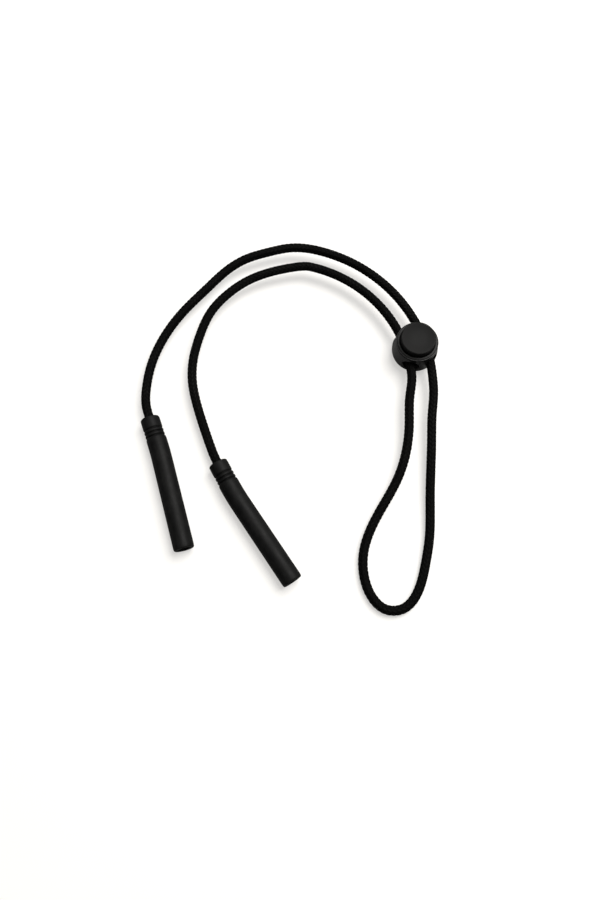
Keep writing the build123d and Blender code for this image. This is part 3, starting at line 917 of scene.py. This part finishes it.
def housing_look(nodes, where):
    _, _, height, radius = from_axis(nodes, where)
    grain = nodes.noise(where, scale=11.0, detail=4.0, roughness=0.6)
    mottle = nodes.noise(where, scale=0.9, detail=3.0, roughness=0.55)
    base = nodes.ramp(mottle, (0.32, (0.0042, 0.0042, 0.0043)), (0.70, (0.0072, 0.0072, 0.0071)))
    # rubbed rim and base edges
    rim = nodes.multiply(nodes.band(height, centre=9.95, half=0.14, soft=0.16),
                         nodes.band(radius, centre=6.80, half=0.20, soft=0.22))
    foot = nodes.band(height, centre=0.12, half=0.12, soft=0.35)
    wear = nodes.multiply(
        nodes.math("MAXIMUM", rim, nodes.multiply(foot, 0.7)),
        nodes.patches(where, scale=2.1, detail=3.0, roughness=0.6, span=(0.36, 0.66),
                      result=(0.15, 1.0)))
    base = nodes.mix(base, (0.020, 0.0195, 0.0188), amount=nodes.multiply(wear, 0.20))
    # fine scratches round the side
    lines = nodes.noise(nodes.scaled(where, factors=(0.6, 0.6, 9.0)),
                        scale=1.6, detail=4.0, roughness=0.7)
    marks = nodes.ease(lines, span=(0.60, 0.70), result=(0.0, 0.30))
    base = nodes.mix(base, (0.026, 0.0255, 0.025), amount=marks)
    dust = nodes.specks(where, scale=1.6, size=0.05,
                        patch_scale=0.5, detail=1.0, span=(0.55, 0.65), peak=0.3)
    base = nodes.mix(base, (0.15, 0.145, 0.135), amount=dust)
    # painted shade: the groove under the rim band darkened as if in shadow
    groove_shade = nodes.multiply(nodes.band(height, centre=8.98, half=0.17, soft=0.12),
                            nodes.ease(radius, span=(6.55, 6.65)))
    base = nodes.mix(base, (0.0006, 0.0006, 0.0006), amount=nodes.multiply(groove_shade, 0.9))
    # duller in the scratches, on the rim's top and in the groove
    rough = nodes.linear(grain, factor=0.12, offset=0.30)
    rim_top = nodes.ease(height, span=(9.5, 9.75))
    for duller, amount in ((marks, 0.4), (rim_top, 0.26), (groove_shade, 0.55)):
        rough = nodes.add(rough, nodes.multiply(duller, amount))
    grain_bump = nodes.bump(grain, strength=0.16, distance=0.00002)
    return {
        "Base Color": base,
        "Roughness": nodes.clamped(rough),
        "Specular IOR Level": 0.27,
        "Normal": nodes.bump(lines, strength=0.10, distance=0.00002, under=grain_bump),
    }


def button_look(nodes, where):
    face_edge = (12.35, 12.53)              # heights between which the top face begins
    x, y, height, radius = from_axis(nodes, where)
    pits = nodes.voronoi(where, scale=9.0, feature="SMOOTH_F1")
    grain = nodes.noise(where, scale=8.5, detail=4.0, roughness=0.65)
    mottle = nodes.noise(where, scale=0.6, detail=3.0, roughness=0.55)
    base = nodes.ramp(mottle, (0.30, (0.0028, 0.0028, 0.0029)), (0.72, (0.0045, 0.0045, 0.0044)))
    # worn rim of the top
    rim = nodes.multiply(nodes.ease(height, span=(12.0, 12.4)),
                         nodes.band(radius, centre=5.60, half=0.14, soft=0.24))
    worn = nodes.multiply(
        rim, nodes.patches(where, scale=1.8, detail=3.0, roughness=0.6, span=(0.38, 0.68)))
    base = nodes.mix(base, (0.034, 0.033, 0.032), amount=nodes.multiply(worn, 0.45))
    # painted light: the top face is painted lighter towards -x and -y, as if that side catches more
    # light
    lighter_x, lighter_y = -0.6, -0.8
    toward = nodes.add(nodes.multiply(x, lighter_x), nodes.multiply(y, lighter_y))
    side_light_paint = nodes.multiply(nodes.ease(toward, span=(-5.5, 6.0), kind="LINEAR"),
                           nodes.ease(height, span=face_edge))
    base = nodes.mix(base, (0.0098, 0.0097, 0.0095), amount=side_light_paint)
    # where a thumb presses: slightly burnished
    ragged = nodes.multiply(nodes.noise(where, scale=0.35), 2.2)
    thumb = nodes.multiply(
        nodes.ease(height, span=face_edge),
        nodes.ease(nodes.add(radius, ragged), span=(2.4, 6.0), result=(1.0, 0.0)))
    base = nodes.mix(base, (0.0078, 0.0078, 0.0080), amount=nodes.multiply(thumb, 0.22))
    dust = nodes.specks(where, scale=1.25, size=0.05,
                        patch_scale=0.6, detail=1.0, span=(0.52, 0.64), peak=0.32)
    base = nodes.mix(base, (0.16, 0.155, 0.145), amount=dust)
    rough = nodes.linear(grain, factor=0.16, offset=0.52)
    rough = nodes.math("SUBTRACT", rough, nodes.multiply(thumb, 0.07))
    pit_bump = nodes.bump(pits, strength=0.22, distance=0.00003)
    return {
        "Base Color": base,
        "Roughness": nodes.clamped(rough),
        "Specular IOR Level": 0.066,
        "Normal": nodes.bump(grain, strength=0.26, distance=0.00003, under=pit_bump),
    }


def steel_look(nodes, where):
    drawn = nodes.noise(nodes.scaled(where, factors=(3.0, 3.0, 14.0)),
                        scale=2.0, detail=3.0, roughness=0.6)
    stain = nodes.noise(where, scale=1.4, detail=3.0, roughness=0.6)
    return {
        "Base Color": nodes.ramp(stain, (0.35, (0.50, 0.49, 0.47)), (0.62, (0.60, 0.595, 0.58)),
                                 (0.80, (0.42, 0.39, 0.35))),
        "Metallic": 1.0,
        "Roughness": nodes.linear(drawn, factor=0.20, offset=0.22),
        "Normal": nodes.bump(drawn, strength=0.25, distance=0.00001),
    }


def brass_look(nodes, where):
    turned = nodes.noise(nodes.scaled(where, factors=(6.0, 6.0, 6.0)),
                         scale=1.5, detail=4.0, roughness=0.7)
    stain = nodes.noise(where, scale=0.8, detail=3.0, roughness=0.6)
    return {
        "Base Color": nodes.ramp(stain, (0.30, (0.55, 0.39, 0.16)), (0.60, (0.66, 0.48, 0.21)),
                                 (0.82, (0.36, 0.24, 0.11))),
        "Metallic": 1.0,
        "Roughness": nodes.linear(turned, factor=0.22, offset=0.26),
        "Normal": nodes.bump(turned, strength=0.20, distance=0.00002),
    }


def floor_look(nodes, where):
    """White table: bright to the camera, while towards the object it reflects less."""
    bounce, glow = 0.30, 0.53
    tone = nodes.noise(where, scale=0.012)
    paper = nodes.ramp(tone, (0.3, (0.430, 0.425, 0.416)), (0.7, (0.445, 0.440, 0.431)))
    seen = nodes.node("ShaderNodeLightPath").outputs["Is Camera Ray"]
    return {
        "Base Color": nodes.mix((bounce, bounce, bounce), paper, amount=seen),
        "Roughness": 0.95,
        "Specular IOR Level": 0.0,
        "Emission Color": (1.0, 0.986, 0.962, 1.0),
        "Emission Strength": nodes.multiply(seen, glow),
    }


# each material carries the name of the slot it fills
MATERIALS = {name: make_material(name, look) for name, look in (
    ("cord_braid", braid_look),
    ("cord_core", core_look),
    ("sleeve_rubber", rubber_look),
    ("lock_housing_plastic", housing_look),
    ("lock_button_plastic", button_look),
    ("spring_steel", steel_look),
    ("ferrule_brass", brass_look),
)}


def dress(obj, slot):
    obj.data.materials.clear()
    obj.data.materials.append(MATERIALS[slot])
    return obj


def dress_node(node, slot):
    """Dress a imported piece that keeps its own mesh."""
    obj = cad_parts[node]
    if not obj.material_slots:
        obj.data.materials.append(None)
    for material_slot in obj.material_slots:
        material_slot.material = MATERIALS[slot]


# ------------------------------------------------------------------ the cord, piece by piece
# lengths along the cord where one piece ends and the next begins
CUTS = [0.0, 60.0, 124.0, LOOP_START + 20.0, (LOOP_START + LOOP_END) / 2 + 3.0, LOOP_END - 20.0,
        INNER_ARC_END - 14.0, NECK_RIGHT - 46.0, CORD_LEN]

# name, the one or two parts it rides, lengths where a blend between two starts and ends,
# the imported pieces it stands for
PIECES = [
    ("neck_left", ("strand_left", "sleeve_left"), (NECK_LEFT + 4.6, NECK_LEFT + 0.2),
     ("tail_left", "flex_neck_left")),
    ("bend_left", ("cord_arcs", "strand_left"), (OUTER_ARC + 1.0, OUTER_ARC - 7.0),
     ("strand_left", "flex_bend_left")),
    ("arc_outer", ("cord_arcs", "cord_loop"), (LOOP_START - 0.6, LOOP_START + 7.5),
     ("arc_outer", "flex_loop_outer")),
    ("loop_out", ("cord_loop",), (), ("loop",)),
    ("loop_back", ("cord_loop",), (), ()),
    ("arc_inner", ("cord_arcs", "cord_loop"), (LOOP_END + 0.6, LOOP_END - 7.5),
     ("arc_inner", "flex_loop_inner")),
    ("bend_right", ("cord_arcs", "strand_right"), (INNER_ARC_END - 1.0, INNER_ARC_END + 7.0),
     ("strand_right", "flex_bend_right")),
    ("neck_right", ("strand_right", "sleeve_right"), (NECK_RIGHT - 4.6, NECK_RIGHT - 0.2),
     ("tail_right", "flex_neck_right")),
]


def nearest_row(length):
    """The even lattice row nearest to a length along the cord."""
    return 2 * int(round(length / ROW_LEN / 2))


def metres_at(length):
    """Place on the centreline, in metres."""
    return tuple(on_path(np.array([length]))[0][0] * MM)


def make_cord_piece(name, start, end, rides, blend_span, stands):
    sheath = dress(braid("braid_" + name, nearest_row(start), nearest_row(end)), "cord_braid")
    core = dress(core_cord("filling_" + name, start + 0.02, end - 0.02), "cord_core")
    for obj in (sheath, core):
        if blend_span:
            blend_start, blend_end = (metres_at(length) for length in blend_span)
            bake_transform(obj)
        else:
            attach(obj, *rides)
    if stands:
        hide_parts(*("sheath_" + part for part in stands))
        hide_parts(*("core_" + part for part in stands))


for (piece, *links), cut_start, cut_end in zip(PIECES, CUTS, CUTS[1:]):
    make_cord_piece(piece, cut_start, cut_end, *links)

# ------------------------------------------------------------------ sleeves and lock
for side_name, side in (("left", LEFT), ("right", RIGHT)):
    tube = dress(sleeve("sleeve_" + side_name, side), "sleeve_rubber")
    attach(tube, "sleeve_" + side_name)
    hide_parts("temple_sleeve_" + side_name)
    dress_node("cord_ferrule_" + side_name, "ferrule_brass")

dress_node("lock_housing", "lock_housing_plastic")
dress_node("lock_plunger", "lock_button_plastic")

SPRING_LO, SPRING_HI = 0.81, 9.79       # heights of the spring's ground ends


def coil(turns=13, radius=0.89, wire=0.13, steps=28, sides=10):
    """Compression spring with ground ends, on the lock's axis."""
    angle = np.linspace(0, TAU * turns, steps * turns + 1)
    flat = np.zeros_like(angle)
    out = np.stack([np.cos(angle), np.sin(angle), flat], 1)
    rise = (SPRING_HI - SPRING_LO) / angle[-1]
    along = np.stack([-radius * np.sin(angle), radius * np.cos(angle), flat + rise], 1)
    across = np.cross(along / np.hypot(radius, rise), out)
    section = np.linspace(0, TAU, sides, endpoint=False)[None, :, None]
    centre = radius * out + np.stack([flat, flat, SPRING_LO + rise * angle], 1)
    verts = centre[:, None] + wire * (np.cos(section) * out[:, None]
                                      + np.sin(section) * across[:, None])
    verts[..., 2] = np.clip(verts[..., 2], SPRING_LO, SPRING_HI)
    rings = len(angle)
    end = np.arange(sides)[None]
    faces = [turned_over(tube_quads(rings, sides)), end[:, ::-1], end + (rings - 1) * sides]
    return new_mesh("spring_coil", verts.reshape(-1, 3), faces)


spring = dress(coil(), "spring_steel")
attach(spring, "cord_lock")
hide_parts("lock_spring")
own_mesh(spring)


# ------------------------------------------------------------------ floor, light, camera
# Places and sizes of the light and the camera are in metres.
def make_floor():
    half, centre_x, centre_y, height = 1600.0, -40.0, -20.0, -0.06
    verts = np.array([(x + centre_x, y + centre_y, height)
                      for y in (-half, half) for x in (-half, half)])
    obj = new_mesh("floor", verts, [np.array([[0, 1, 3, 2]])])
    obj.data.materials.append(make_material("floor_paper", floor_look))


def make_world(scene):
    """Grey studio sky, brightest towards +x, +y and up."""
    world = bpy.data.worlds.new("studio")
    scene.world = world
    world.use_nodes = True
    nodes = Nodes(world.node_tree)
    toward = nodes.node("ShaderNodeVectorMath", operation="DOT_PRODUCT")
    nodes.put(toward.inputs[0], nodes.node("ShaderNodeTexCoord").outputs["Generated"])
    toward.inputs[1].default_value = tuple(Vector((0.42, 0.40, 0.81)).normalized())
    lit = nodes.ease(toward.outputs["Value"], span=(-0.35, 1.0))
    colour = nodes.ramp(lit, (0.0, (0.050, 0.050, 0.052)), (0.45, (0.20, 0.20, 0.205)),
                        (1.0, (0.86, 0.855, 0.845)))
    background = world.node_tree.nodes["Background"]
    nodes.put(background.inputs["Color"], colour)
    background.inputs["Strength"].default_value = 0.62


def make_key_light(scene):
    location, target = Vector((0.19, 0.19, 0.60)), Vector((-0.03, -0.01, 0.0))
    light = bpy.data.lights.new("key", "AREA")
    light.shape = "DISK"
    light.size = 0.50
    light.energy = 6.6
    light.color = (1.0, 0.985, 0.96)
    obj = bpy.data.objects.new("key", light)
    scene.collection.objects.link(obj)
    obj.location = location
    obj.rotation_mode = "QUATERNION"
    obj.rotation_quaternion = (target - location).to_track_quat("-Z", "Y")


def make_camera(scene):
    camera = bpy.data.cameras.new("camera")
    camera.lens = 28.0
    camera.sensor_width = 36.0
    camera.clip_start, camera.clip_end = 0.01, 10.0
    obj = bpy.data.objects.new("camera", camera)
    scene.collection.objects.link(obj)
    obj.location = (-0.03967, -0.1004, 0.2268)
    obj.rotation_euler = (math.radians(16.0), 0.0, 0.0)
    scene.camera = obj


def set_view(scene):
    view = scene.view_settings
    view.view_transform = "Standard"
    view.look = "None"
    view.exposure = 0.0
    view.gamma = 1.0


make_floor()
set_view(bpy.context.scene)
make_world(bpy.context.scene)
make_key_light(bpy.context.scene)
make_camera(bpy.context.scene)
